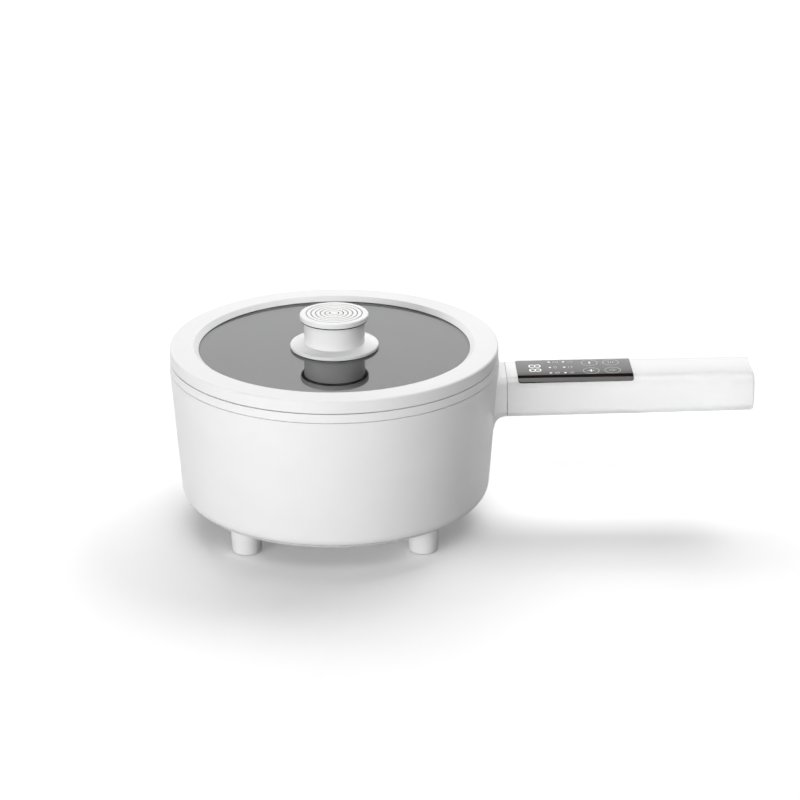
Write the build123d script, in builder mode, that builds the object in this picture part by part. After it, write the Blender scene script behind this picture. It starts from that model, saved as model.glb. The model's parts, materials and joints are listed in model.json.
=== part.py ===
from build123d import *
import os
from math import cos, radians, sin, tan

os.makedirs("parts", exist_ok=True)

# Electric hot pot with a lift-off lid. Millimetres, +Z up, +X along the handle.
# The origin is on the pot's axis, on the surface that the feet stand on.

# ---- Driving dimensions ----

# Clearances used all over
slip_fit = 0.1
seam_gap = 0.3
part_line = 0.3

# Pot and body
pot_bore_radius = 93.0
pot_depth = 64.2
pot_draft = 1.0
pot_wall = 2.0
pot_corner_radius = 14.0
body_margin = 12.8  # from the pot's bore to the outside of the shell's rim
body_draft = 3.9
body_foot_fillet = 9.0
shell_wall = 2.6
shell_edge_round = 0.3

# Stack under the pot, from the table up
foot_height = 18.9
base_wall = 2.5
electronics_bay = 12.8
shield_thickness = 0.8
shield_gap = 6.5
plate_thickness = 4.5

# Rim collar
collar_height = 5.75
collar_taper = 0.5
collar_rim_width = 5.9
collar_line_height = 0.35  # shadow line between the shell and the collar
collar_line_depth = 1.2
collar_spigot_depth = 4.6
collar_spigot_wall = 2.4
rim_recess = 0.15
rim_flange_thickness = 1.8
rim_seal_thickness = 0.4

# Base cover, its screws and its slots
base_lip_height = 4.2
vent_count = 18
vent_length = 12.0
vent_width = 2.6
base_screw_count = 3
base_screw_start = 30.0
base_boss_radius = 4.5
base_boss_height = 12.0
base_screw_margin = 1.2
base_screw_sink = 1.5
base_screw_head_height = 1.3
base_screw_length = 9.0
screw_radius = 1.9
screw_head_radius = 3.6
screw_head_height = 2.2

# Feet
foot_count = 4
foot_start = 45.0
foot_top_radius = 10.4
foot_tip_radius = 9.26
foot_inset = 13.5
foot_tip_round = 0.8
pad_radius = 7.6
pad_thickness = 1.8
pad_stand = 0.6
foot_boss_radius = 5.0
foot_boss_height = 4.0
foot_screw_grip = 5.0  # plastic left above the screw's head

# Heater and its neighbours
plate_inset = 21.0
tube_radius = 3.3
tube_inset = 20.0
tube_arc = 320.0
leg_drop = 6.2
tab_width = 6.3
tab_thickness = 0.8
tab_length = 4.5
sensor_radius = 6.5
sensor_foot_radius = 9.5
sensor_foot_height = 2.0
thermostat_radius = 8.0
thermostat_height = 9.0
thermostat_offset = 28.0
fuse_radius = 2.0
fuse_length = 14.0
fuse_offset = 30.0
stud_radius = 2.5
stud_inset = 10.0
stud_count = 3
stud_start = 60.0
nut_across = 9.0
nut_height = 2.6

# Power board and its parts
board_thickness = 1.6
board_post_height = 1.6
board_post_radius = 3.0
board_length = 60.0
board_width = 44.0
board_x = -3.0
board_y = -10.0
board_margin = 4.0
relay_size = (18.0, 14.0, 8.0)
supply_size = (12.0, 16.0, 8.6)
terminal_size = (16.0, 12.0, 8.0)
component_inset = 2.0

# Mains inlet
inlet_width = 27.6
inlet_height = 19.6
inlet_corner = 3.0
inlet_depth = 15.3
inlet_wall = 1.5
inlet_back = 2.4
inlet_recess = 2.7
inlet_floor_gap = 4.8
inlet_ear_span = 49.0
inlet_ear_height = 16.0
inlet_ear_thickness = 2.0
inlet_ear_setback = 4.3
inlet_screw_span = 39.0
inlet_screw_radius = 1.4
pin_width = 2.0
pin_height = 4.0
pin_spacing = 7.0
pin_rise = 2.0

# Leads and cables inside
mains_lead_radius = 1.3
heater_lead_radius = 1.1
signal_cable_radius = 1.1
lead_bend = 6.0
mains_run = 17.0

# Neck and handle
grip_width = 39.2
grip_height = 27.1
grip_height_end = 26.1
grip_corner = 7.0
grip_drop = 5.42  # from the shell's top edge down to the neck's flat top
grip_length = 158.0
handle_rise = 1.0  # degrees that the neck and the handle climb outwards
grip_wall = 2.4
grip_end_round = 1.2
neck_reach = 4.75
neck_fillet_sink = 1.0
neck_pad_depth = 6.0
neck_bore_width = 26.0
neck_bore_height = 14.0
neck_bore_corner = 3.0
neck_bore_drop = 5.2

# Handle bracket and core
bracket_width = 22.0
bracket_thickness = 2.5
bracket_flange_thickness = 1.5
bracket_flange_drop = 12.0
bracket_length = 55.0
bracket_lift = 1.0
bracket_screw_span = 15.0
bracket_screw_length = 9.0
bracket_screw_head = 1.7
core_clearance = 0.3
core_wall = 1.8
core_floor = 2.0
core_length = 88.0
core_screw_places = (17.0, 41.0)
core_boss_radius = 4.5
grip_screw_place = 69.0
grip_screw_span = 16.0
grip_boss_radius = 3.4
grip_boss_height = 8.0

# Control panel on the handle
panel_offset = 6.9
panel_length = 73.9
panel_proud = 0.6
panel_sink = 1.0
panel_wrap = 51.0
panel_corner = 1.4
window_length = 68.0
window_width = 24.0
display_board_margin = 1.2
display_board_width = 31.6
display_height = 4.0
digits_place = 11.8  # from the panel's near end to the middle of the digits
digits_length = 9.0
digits_width = 17.0
led_columns = (21.5, 30.8)
led_rows = (-9.8, 0.0, 9.8)
led_size = 2.4
key_columns = (47.6, 61.4)
key_half_spacing = 7.1
touch_pad_radius = 3.6
chip_size = 7.0
chip_height = 1.2
buzzer_radius = 5.0
buzzer_height = 4.0

# Lid
lid_gap = 0.5
lid_ring_height = 8.15
lid_inset = 0.52
lid_taper = 0.18
lid_lip_overlap = 6.0  # how far the ring's window stands inside the pot's bore
lid_edge_round = 1.3
lid_bevel_run = 3.2
lid_bevel_drop = 2.75
lid_lip_height = 3.05
glass_gasket_thickness = 0.2
glass_thickness = 4.0
glass_seat = 4.8
glass_fit = 0.4
retainer_depth = 4.0
retainer_wall = 6.4
retainer_fit = 0.1
lid_seal_height = 1.6
lid_seal_depth = 1.5
lid_side_clearance = 0.3

# Knob
flange_radius = 28.34
flange_rim = 1.85
flange_rise = 1.41
flange_dish = 0.35
flange_round = 0.7
knob_gasket_thickness = 0.3
knob_gasket_inset = 0.5
grip_top_radius = 19.8
grip_foot_radius = 19.4
grip_knob_height = 15.6
knob_spigot_radius = 8.0
knob_spigot_depth = 2.4
knob_fit = 0.1
cap_radius = 22.0
cap_thickness = 3.35
cap_round = 0.8
cap_under_round = 0.4
cap_spigot_radius = 14.0
cap_spigot_depth = 2.0
groove_count = 6
groove_pitch = 2.98
groove_width = 0.75
groove_depth = 0.8
insert_radius = 4.5
insert_length = 9.0
knob_screw_radius = 2.5
knob_screw_length = 17.0
knob_screw_head_radius = 5.0
knob_screw_head_height = 2.5
washer_radius = 10.0
washer_thickness = 1.2
lower_gasket_thickness = 0.5

# ---- Derived heights ----

base_z = foot_height
floor_z = base_z + base_wall
split_z = base_z + base_lip_height
shield_z = floor_z + electronics_bay
shield_top_z = shield_z + shield_thickness
plate_z = shield_top_z + shield_gap
pot_under_z = plate_z + plate_thickness
pot_floor_z = pot_under_z + pot_wall
rim_z = pot_floor_z + pot_depth
collar_top_z = rim_z + rim_recess
shell_top_z = collar_top_z - collar_height
ledge_z = rim_z - rim_flange_thickness - rim_seal_thickness
lid_base_z = collar_top_z + lid_gap
lid_top_z = lid_base_z + lid_ring_height
lip_under_z = lid_top_z - lid_lip_height
glass_top_z = lip_under_z - glass_gasket_thickness
glass_under_z = glass_top_z - glass_thickness

# ---- Derived radii ----

body_radius = pot_bore_radius + body_margin
draft_slope = tan(radians(body_draft))
collar_top_radius = body_radius - collar_taper
collar_ledge_radius = collar_top_radius - collar_rim_width
spigot_radius = body_radius - shell_wall - collar_spigot_depth * draft_slope - seam_gap
pot_outer_radius = pot_bore_radius + pot_wall
plate_radius = pot_bore_radius - plate_inset
tube_path_radius = plate_radius - tube_inset
stud_path_radius = plate_radius - stud_inset
foot_path_radius = pot_bore_radius - foot_inset
window_radius = pot_bore_radius - lid_lip_overlap
bevel_radius = window_radius + lid_bevel_run
glass_radius = window_radius + glass_seat
rebate_radius = glass_radius + glass_fit
lid_base_radius = body_radius - lid_inset
lid_top_radius = lid_base_radius - lid_taper


def wall_radius(height):
    # Outside of the drafted body wall at a height.
    return body_radius - (shell_top_z - height) * draft_slope


def body_outline(inset, low_z, corner):
    # Half section of the drafted body, moved in by inset and rounded at its foot.
    foot_radius = wall_radius(low_z) - inset
    with BuildSketch(Plane.XZ) as outline:
        with BuildLine():
            Polyline(
                (0, low_z),
                (foot_radius, low_z),
                (body_radius - inset, shell_top_z),
                (0, shell_top_z),
                close=True,
            )
        make_face()
        fillet(outline.vertices().sort_by_distance((foot_radius, low_z))[0], corner)
    return outline.sketch


def ring_part(inner, outer, low_z, high_z):
    # Plain ring with square edges.
    with BuildPart() as ring:
        with BuildSketch(Plane.XY.offset(low_z)):
            Circle(outer)
            Circle(inner, mode=Mode.SUBTRACT)
        extrude(amount=high_z - low_z)
    return ring.part


def tube_part(points, tube, bend):
    # Round lead that follows straight runs joined by arcs.
    with BuildPart() as lead:
        with BuildLine() as route:
            FilletPolyline(*points, radius=bend)
        with BuildSketch(Plane(origin=route.line @ 0, z_dir=route.line % 0)):
            Circle(tube)
        sweep(path=route.line)
    return lead.part


# ---- Body: shell, base cover and collar ----

neck_face_x = body_radius + neck_reach
neck_root_x = body_radius - neck_pad_depth
grip_top_z = shell_top_z - grip_drop
grip_under_z = grip_top_z - grip_height
grip_start_x = neck_face_x + seam_gap
grip_end_x = grip_start_x + grip_length
neck_bore_z = grip_top_z - neck_bore_drop - neck_bore_height / 2
inlet_z = floor_z + inlet_floor_gap + inlet_height / 2
inlet_face_y = wall_radius(inlet_z) - inlet_recess
inlet_back_y = inlet_face_y - inlet_depth
inlet_pad_y = inlet_face_y - inlet_ear_setback
cavity_corner = body_foot_fillet - shell_wall
base_flat_radius = wall_radius(base_z) - body_foot_fillet
boss_path_radius = base_flat_radius - screw_head_radius - base_screw_margin

handle_hinge = Axis((neck_face_x, 0, grip_under_z), (0, 1, 0))


def raised(level):
    # Turn a level shape of the neck or the handle to the handle's slope.
    return level.rotate(handle_hinge, -handle_rise)


def raised_place(place_x, place_z):
    # Where a level place on the middle plane ends up on the sloping handle.
    along = place_x - neck_face_x
    up = place_z - grip_under_z
    turn = radians(handle_rise)
    return (
        neck_face_x + along * cos(turn) - up * sin(turn),
        0,
        grip_under_z + up * cos(turn) + along * sin(turn),
    )


def save_raised(level, name):
    piece = raised(level)
    piece.label = name
    export_step(piece, f"parts/{name}.step")


outer_outline = body_outline(0, base_z, body_foot_fillet)
cavity_outline = body_outline(shell_wall, floor_z, cavity_corner)

# Neck: the handle's section run back into the wall, with a concave round beneath it.
fillet_end_x = wall_radius(grip_under_z) - neck_fillet_sink
neck_fillet = neck_face_x - part_line - fillet_end_x
fillet_centre = (fillet_end_x + neck_fillet, grip_under_z - neck_fillet)
neck_deep_x = fillet_end_x - 2 * grip_corner
with BuildPart() as neck:
    with BuildSketch(Plane.XZ):
        with BuildLine():
            CenterArc(fillet_centre, neck_fillet, 90, 90)
            Polyline(
                (fillet_centre[0], grip_under_z),
                (neck_face_x, grip_under_z),
                (neck_face_x, grip_top_z),
                (neck_deep_x, grip_top_z),
                (neck_deep_x, fillet_centre[1]),
                (fillet_end_x, fillet_centre[1]),
            )
        make_face()
    extrude(amount=grip_width / 2, both=True)
    side_edges = neck.edges().filter_by(lambda e: abs((e @ 0).Y - (e @ 1).Y) < part_line)
    long_edges = side_edges.filter_by(lambda e: abs((e @ 0).X - (e @ 1).X) > part_line)
    fillet(long_edges.filter_by(lambda e: (e @ 0.5).Z > fillet_centre[1] + part_line), grip_corner)
    split(bisect_by=Plane.YZ.offset(neck_root_x), keep=Keep.TOP)
neck_form = raised(neck.part)

# Wire way through the neck, and pilot holes for the bracket's screws beneath it.
bracket_bar_z = neck_bore_z - neck_bore_height / 2 + bracket_lift
bracket_screw_z = bracket_bar_z - bracket_flange_drop / 2
with BuildPart() as neck_holes:
    with BuildSketch(Plane.YZ.offset(neck_root_x)):
        with Locations((0, neck_bore_z)):
            RectangleRounded(neck_bore_width, neck_bore_height, neck_bore_corner)
    extrude(amount=neck_face_x - neck_root_x)
    with BuildSketch(Plane.YZ.offset(neck_root_x)):
        with Locations((0, bracket_screw_z)):
            with GridLocations(bracket_screw_span, 0, 2, 1):
                Circle(screw_radius)
    extrude(amount=bracket_screw_length)

with BuildPart() as cavity:
    add(cavity_outline)
    revolve(axis=Axis.Z)
    with BuildSketch(Plane.XZ.offset(-inlet_pad_y)):
        with Locations((0, floor_z)):
            Rectangle(
                inlet_ear_span + 2 * seam_gap,
                inlet_z - floor_z + inlet_height,
                align=(Align.CENTER, Align.MIN),
            )
    extrude(amount=-body_radius, mode=Mode.SUBTRACT)
    add(neck_form, mode=Mode.SUBTRACT)

with BuildPart() as outer_shell:
    add(outer_outline)
    revolve(axis=Axis.Z)
    fillet(outer_shell.edges().group_by(Axis.Z)[-1], shell_edge_round)
    add(neck_form)
    add(cavity.part, mode=Mode.SUBTRACT)
    split(bisect_by=Plane.XY.offset(split_z), keep=Keep.TOP)
    # Bosses for the base cover's screws, with ribs to the wall.
    with BuildSketch(Plane.XY.offset(floor_z)):
        with PolarLocations(boss_path_radius, base_screw_count, base_screw_start):
            Circle(base_boss_radius)
    extrude(amount=base_boss_height)
    with BuildSketch(Plane.XY.offset(split_z)):
        with PolarLocations(boss_path_radius, base_screw_count, base_screw_start):
            Rectangle(
                wall_radius(split_z) - shell_wall / 2 - boss_path_radius,
                base_boss_radius,
                align=(Align.MIN, Align.CENTER),
            )
    extrude(amount=floor_z + base_boss_height - split_z)
    with BuildSketch(Plane.XY.offset(floor_z)):
        with PolarLocations(boss_path_radius, base_screw_count, base_screw_start):
            Circle(screw_radius)
    extrude(amount=base_boss_height - shell_wall, mode=Mode.SUBTRACT)
    add(raised(neck_holes.part), mode=Mode.SUBTRACT)
    # Window for the mains inlet and pilot holes for its ears.
    with BuildSketch(Plane.XZ.offset(-inlet_pad_y)):
        with Locations((0, inlet_z)):
            RectangleRounded(
                inlet_width + 2 * slip_fit, inlet_height + 2 * slip_fit, inlet_corner
            )
    extrude(amount=-body_radius, mode=Mode.SUBTRACT)
    with BuildSketch(Plane.XZ.offset(-inlet_pad_y)):
        with Locations((0, inlet_z)):
            with GridLocations(inlet_screw_span, 0, 2, 1):
                Circle(inlet_screw_radius)
    extrude(amount=-inlet_recess, mode=Mode.SUBTRACT)
outer_shell.part.label = "outer_shell"
export_step(outer_shell.part, "parts/outer_shell.step")

board_corners = (board_length - 2 * board_margin, board_width - 2 * board_margin)
vent_path_radius = foot_path_radius - foot_top_radius - vent_length / 2 - part_line
with BuildPart() as base_cover:
    add(outer_outline)
    revolve(axis=Axis.Z)
    add(cavity_outline)
    revolve(axis=Axis.Z, mode=Mode.SUBTRACT)
    split(bisect_by=Plane.XY.offset(split_z - part_line), keep=Keep.BOTTOM)
    with BuildSketch(Plane.XY.offset(floor_z)):
        with PolarLocations(foot_path_radius, foot_count, foot_start):
            Circle(foot_boss_radius)
    extrude(amount=foot_boss_height)
    with BuildSketch(Plane.XY.offset(floor_z)):
        with Locations((board_x, board_y)):
            with GridLocations(*board_corners, 2, 2):
                Circle(board_post_radius)
    extrude(amount=board_post_height)
    with BuildSketch(Plane.XY.offset(floor_z)):
        with PolarLocations(boss_path_radius, base_screw_count, base_screw_start):
            Circle(base_boss_radius + slip_fit)
    extrude(amount=base_lip_height, mode=Mode.SUBTRACT)
    with BuildSketch(Plane.XY.offset(base_z)):
        with PolarLocations(foot_path_radius, foot_count, foot_start):
            Circle(screw_radius)
    extrude(amount=base_wall + foot_boss_height, mode=Mode.SUBTRACT)
    with BuildSketch(Plane.XY.offset(base_z)):
        with PolarLocations(boss_path_radius, base_screw_count, base_screw_start):
            Circle(screw_radius)
    extrude(amount=base_wall, mode=Mode.SUBTRACT)
    with BuildSketch(Plane.XY.offset(base_z)):
        with PolarLocations(boss_path_radius, base_screw_count, base_screw_start):
            Circle(screw_head_radius + slip_fit)
    extrude(amount=base_screw_sink, mode=Mode.SUBTRACT)
    with BuildSketch(Plane.XY.offset(base_z)):
        with PolarLocations(vent_path_radius, vent_count, 360 / vent_count / 2):
            SlotOverall(vent_length, vent_width)
    extrude(amount=base_wall, mode=Mode.SUBTRACT)
base_cover.part.label = "base_cover"
export_step(base_cover.part, "parts/base_cover.step")

with BuildPart() as base_screws:
    with BuildSketch(Plane.XY.offset(base_z + base_screw_sink)):
        with PolarLocations(boss_path_radius, base_screw_count, base_screw_start):
            Circle(screw_head_radius)
    extrude(amount=-base_screw_head_height)
    with BuildSketch(Plane.XY.offset(base_z + base_screw_sink)):
        with PolarLocations(boss_path_radius, base_screw_count, base_screw_start):
            Circle(screw_radius - slip_fit)
    extrude(amount=base_screw_length)
base_screws.part.label = "base_screws"
export_step(base_screws.part, "parts/base_screws.step")

with BuildPart() as rim_collar:
    with BuildSketch(Plane.XZ) as collar_outline:
        with BuildLine():
            Polyline(
                (body_radius - collar_line_depth, shell_top_z),
                (body_radius - collar_line_depth, shell_top_z + collar_line_height),
                (body_radius, shell_top_z + collar_line_height),
                (collar_top_radius, collar_top_z),
                (collar_ledge_radius, collar_top_z),
                (collar_ledge_radius, ledge_z),
                (pot_outer_radius + seam_gap, ledge_z),
                (pot_outer_radius + seam_gap, shell_top_z),
                (spigot_radius - collar_spigot_wall, shell_top_z),
                (spigot_radius - collar_spigot_wall, shell_top_z - collar_spigot_depth),
                (spigot_radius, shell_top_z - collar_spigot_depth),
                (spigot_radius, shell_top_z),
                close=True,
            )
        make_face()
        fillet(
            collar_outline.vertices().group_by(Axis.X)[-1]
            + collar_outline.vertices().sort_by_distance((collar_top_radius, collar_top_z))[:1],
            shell_edge_round,
        )
    revolve(axis=Axis.Z)
rim_collar.part.label = "rim_collar"
export_step(rim_collar.part, "parts/rim_collar.step")

# ---- Inner pot and its seal ----

flange_edge_radius = collar_ledge_radius - seam_gap
pot_slope = tan(radians(pot_draft))
pot_side_height = rim_z - pot_under_z
pot_foot_radius = pot_outer_radius - pot_side_height * pot_slope
bore_foot_radius = pot_bore_radius - (rim_z - pot_floor_z) * pot_slope
with BuildPart() as inner_pot:
    with BuildSketch(Plane.XZ) as pot_outline:
        with BuildLine():
            Polyline(
                (0, pot_under_z),
                (pot_foot_radius, pot_under_z),
                (pot_outer_radius, rim_z - rim_flange_thickness),
                (flange_edge_radius, rim_z - rim_flange_thickness),
                (flange_edge_radius, rim_z),
                (pot_bore_radius, rim_z),
                (bore_foot_radius, pot_floor_z),
                (0, pot_floor_z),
                close=True,
            )
        make_face()
        fillet(
            pot_outline.vertices().sort_by_distance((pot_foot_radius, pot_under_z))[0],
            pot_corner_radius + pot_wall,
        )
        fillet(
            pot_outline.vertices().sort_by_distance((bore_foot_radius, pot_floor_z))[0],
            pot_corner_radius,
        )
        fillet(
            pot_outline.vertices().sort_by_distance((pot_bore_radius, rim_z))[0],
            rim_flange_thickness / 2,
        )
    revolve(axis=Axis.Z)
inner_pot.part.label = "inner_pot"
export_step(inner_pot.part, "parts/inner_pot.step")

rim_seal = ring_part(
    pot_outer_radius + seam_gap, flange_edge_radius, ledge_z, ledge_z + rim_seal_thickness
)
rim_seal.label = "rim_seal"
export_step(rim_seal, "parts/rim_seal.step")

# ---- Heater under the pot ----

tube_z = plate_z - tube_radius / 3
leg_angle = (360 - tube_arc) / 2
leg_x = -tube_path_radius * cos(radians(leg_angle))
leg_y = tube_path_radius * sin(radians(leg_angle))
leg_end_z = tube_z - tube_radius - leg_drop
with BuildPart() as heating_plate:
    with BuildSketch(Plane.XY.offset(plate_z)):
        Circle(plate_radius)
        Circle(sensor_radius + seam_gap, mode=Mode.SUBTRACT)
    extrude(amount=plate_thickness)
    with BuildSketch(Plane.XZ):
        with Locations((tube_path_radius, tube_z)):
            Circle(tube_radius + slip_fit)
    revolve(axis=Axis.Z, mode=Mode.SUBTRACT)
heating_plate.part.label = "heating_plate"
export_step(heating_plate.part, "parts/heating_plate.step")

with BuildPart() as heating_tube:
    with BuildSketch(Plane.XZ.rotated((0, 0, 180 + leg_angle))):
        with Locations((tube_path_radius, tube_z)):
            Circle(tube_radius)
    revolve(axis=Axis.Z, revolution_arc=tube_arc)
    with BuildSketch(Plane.XY.offset(tube_z)):
        with Locations((leg_x, leg_y), (leg_x, -leg_y)):
            Circle(tube_radius)
    extrude(amount=leg_end_z - tube_z)
    with Locations((leg_x, leg_y, tube_z), (leg_x, -leg_y, tube_z)):
        Sphere(tube_radius)
heating_tube.part.label = "heating_tube"
export_step(heating_tube.part, "parts/heating_tube.step")

with BuildPart() as heater_terminals:
    with BuildSketch(Plane.XY.offset(leg_end_z)):
        with Locations((leg_x, leg_y), (leg_x, -leg_y)):
            Rectangle(tab_thickness, tab_width)
    extrude(amount=-tab_length)
heater_terminals.part.label = "heater_terminals"
export_step(heater_terminals.part, "parts/heater_terminals.step")

with BuildPart() as thermostat:
    with BuildSketch(Plane.XY.offset(plate_z)):
        with Locations((0, thermostat_offset)):
            Circle(thermostat_radius)
    extrude(amount=-thermostat_height)
    fillet(thermostat.edges().group_by(Axis.Z)[0], shell_edge_round)
thermostat.part.label = "thermostat"
export_step(thermostat.part, "parts/thermostat.step")

with BuildPart() as thermal_fuse:
    with BuildSketch(Plane.YZ.offset(-fuse_length / 2)):
        with Locations((-fuse_offset, plate_z - fuse_radius)):
            Circle(fuse_radius)
    extrude(amount=fuse_length)
    fillet(thermal_fuse.edges().filter_by(GeomType.CIRCLE), shell_edge_round)
thermal_fuse.part.label = "thermal_fuse"
export_step(thermal_fuse.part, "parts/thermal_fuse.step")

with BuildPart() as temperature_sensor:
    with BuildSketch(Plane.XY.offset(shield_top_z)):
        Circle(sensor_foot_radius)
    extrude(amount=sensor_foot_height)
    with BuildSketch(Plane.XY.offset(shield_top_z)):
        Circle(sensor_radius)
    extrude(amount=pot_under_z - shield_top_z)
temperature_sensor.part.label = "temperature_sensor"
export_step(temperature_sensor.part, "parts/temperature_sensor.step")

with BuildPart() as heat_shield:
    with BuildSketch(Plane.XY.offset(shield_z)):
        Circle(plate_radius)
        with Locations((leg_x, leg_y), (leg_x, -leg_y)):
            Circle(tube_radius + shield_thickness, mode=Mode.SUBTRACT)
        with Locations((0, thermostat_offset)):
            Circle(thermostat_radius + shield_thickness, mode=Mode.SUBTRACT)
        with PolarLocations(stud_path_radius, stud_count, stud_start):
            Circle(stud_radius + slip_fit, mode=Mode.SUBTRACT)
    extrude(amount=shield_thickness)
heat_shield.part.label = "heat_shield"
export_step(heat_shield.part, "parts/heat_shield.step")

with BuildPart() as heater_studs:
    with BuildSketch(Plane.XY.offset(floor_z)):
        with PolarLocations(stud_path_radius, stud_count, stud_start):
            Circle(stud_radius)
    extrude(amount=plate_z - floor_z)
heater_studs.part.label = "heater_studs"
export_step(heater_studs.part, "parts/heater_studs.step")

with BuildPart() as stud_nuts:
    with BuildSketch(Plane.XY.offset(shield_z)):
        with PolarLocations(stud_path_radius, stud_count, stud_start):
            RegularPolygon(nut_across / 2, 6, major_radius=False)
            Circle(stud_radius + slip_fit, mode=Mode.SUBTRACT)
    extrude(amount=-nut_height)
stud_nuts.part.label = "stud_nuts"
export_step(stud_nuts.part, "parts/stud_nuts.step")

# ---- Power board ----

board_z = floor_z + board_post_height
board_top_z = board_z + board_thickness
board_left = board_x - board_length / 2
board_right = board_x + board_length / 2
board_back = board_y + board_width / 2
board_front = board_y - board_width / 2
terminal_x = board_left + component_inset + terminal_size[0] / 2
terminal_y = board_back - component_inset - terminal_size[1] / 2
relay_x = board_right - component_inset - relay_size[0] / 2
relay_y = board_front + component_inset + relay_size[1] / 2
supply_x = board_left + component_inset + supply_size[0] / 2
supply_y = board_front + component_inset + supply_size[1] / 2

with BuildPart() as power_board:
    with BuildSketch(Plane.XY.offset(board_z)):
        with Locations((board_x, board_y)):
            RectangleRounded(board_length, board_width, component_inset)
    extrude(amount=board_thickness)
power_board.part.label = "power_board"
export_step(power_board.part, "parts/power_board.step")

board_parts = {
    "power_relay": (relay_x, relay_y, relay_size),
    "supply_module": (supply_x, supply_y, supply_size),
    "terminal_block": (terminal_x, terminal_y, terminal_size),
}
for part_name, (part_x, part_y, (part_l, part_w, part_h)) in board_parts.items():
    with BuildPart() as component:
        with BuildSketch(Plane.XY.offset(board_top_z)):
            with Locations((part_x, part_y)):
                Rectangle(part_l, part_w)
        extrude(amount=part_h)
        fillet(component.edges().filter_by(Axis.Z), shell_edge_round)
    component.part.label = part_name
    export_step(component.part, f"parts/{part_name}.step")

# ---- Mains inlet at the back ----

with BuildPart() as power_inlet:
    with BuildSketch(Plane.XZ.offset(-inlet_back_y)):
        with Locations((0, inlet_z)):
            RectangleRounded(inlet_width, inlet_height, inlet_corner - slip_fit)
    extrude(amount=-inlet_depth)
    with BuildSketch(Plane.XZ.offset(-inlet_pad_y)):
        with Locations((0, inlet_z)):
            RectangleRounded(inlet_ear_span, inlet_ear_height, inlet_corner)
            with GridLocations(inlet_screw_span, 0, 2, 1):
                Circle(inlet_screw_radius + slip_fit, mode=Mode.SUBTRACT)
    extrude(amount=inlet_ear_thickness)
    with BuildSketch(Plane.XZ.offset(-(inlet_back_y + inlet_back))):
        with Locations((0, inlet_z)):
            RectangleRounded(
                inlet_width - 2 * inlet_wall, inlet_height - 2 * inlet_wall, inlet_corner / 2
            )
    extrude(amount=-inlet_depth, mode=Mode.SUBTRACT)
    with BuildSketch(Plane.XZ.offset(-inlet_back_y)) as pin_slots:
        with Locations((0, inlet_z + pin_rise)):
            Rectangle(pin_width, pin_height)
        with Locations((-pin_spacing, inlet_z - pin_rise), (pin_spacing, inlet_z - pin_rise)):
            Rectangle(pin_width, pin_height)
    extrude(amount=-inlet_back, mode=Mode.SUBTRACT)
power_inlet.part.label = "power_inlet"
export_step(power_inlet.part, "parts/power_inlet.step")

with BuildPart() as inlet_pins:
    with BuildSketch(Plane.XZ.offset(-(inlet_back_y - inlet_back))):
        with Locations((0, inlet_z + pin_rise)):
            Rectangle(pin_width, pin_height)
        with Locations((-pin_spacing, inlet_z - pin_rise), (pin_spacing, inlet_z - pin_rise)):
            Rectangle(pin_width, pin_height)
    extrude(amount=-inlet_depth)
inlet_pins.part.label = "inlet_pins"
export_step(inlet_pins.part, "parts/inlet_pins.step")

with BuildPart() as inlet_screws:
    with BuildSketch(Plane.XZ.offset(-(inlet_pad_y - inlet_ear_thickness))):
        with Locations((0, inlet_z)):
            with GridLocations(inlet_screw_span, 0, 2, 1):
                Circle(2 * inlet_screw_radius)
    extrude(amount=inlet_ear_thickness)
    with BuildSketch(Plane.XZ.offset(-(inlet_pad_y - inlet_ear_thickness))):
        with Locations((0, inlet_z)):
            with GridLocations(inlet_screw_span, 0, 2, 1):
                Circle(inlet_screw_radius - slip_fit / 2)
    extrude(amount=-(inlet_ear_thickness + inlet_recess))
inlet_screws.part.label = "inlet_screws"
export_step(inlet_screws.part, "parts/inlet_screws.step")

# ---- Leads between the inlet, the board and the heater ----

lead_z = board_top_z + terminal_size[2] / 2
pin_back_y = inlet_back_y - inlet_back
mains_turn_y = board_back + mains_run
terminal_face_y = terminal_y + terminal_size[1] / 2
with BuildPart() as mains_leads:
    for side in (-1, 1):
        add(
            tube_part(
                [
                    (side * pin_spacing, pin_back_y, inlet_z - pin_rise),
                    (side * pin_spacing, pin_back_y - lead_bend, inlet_z - pin_rise),
                    (side * pin_spacing, pin_back_y - 2 * lead_bend, lead_z),
                    (terminal_x + side * terminal_size[0] / 4, mains_turn_y, lead_z),
                    (terminal_x + side * terminal_size[0] / 4, terminal_face_y, lead_z),
                ],
                mains_lead_radius,
                lead_bend / 2,
            )
        )
mains_leads.part.label = "mains_leads"
export_step(mains_leads.part, "parts/mains_leads.step")

heater_lead_z = leg_end_z - tab_length / 2
terminal_left = terminal_x - terminal_size[0] / 2
with BuildPart() as heater_leads:
    for side in (-1, 1):
        add(
            tube_part(
                [
                    (terminal_left, terminal_y + side * terminal_size[1] / 4, heater_lead_z),
                    (terminal_left - lead_bend, terminal_y + side * terminal_size[1] / 4, heater_lead_z),
                    (leg_x + tab_thickness / 2 + lead_bend, side * leg_y, heater_lead_z),
                    (leg_x + tab_thickness / 2, side * leg_y, heater_lead_z),
                ],
                heater_lead_radius,
                lead_bend / 4,
            )
        )
heater_leads.part.label = "heater_leads"
export_step(heater_leads.part, "parts/heater_leads.step")

# ---- Feet ----

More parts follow.
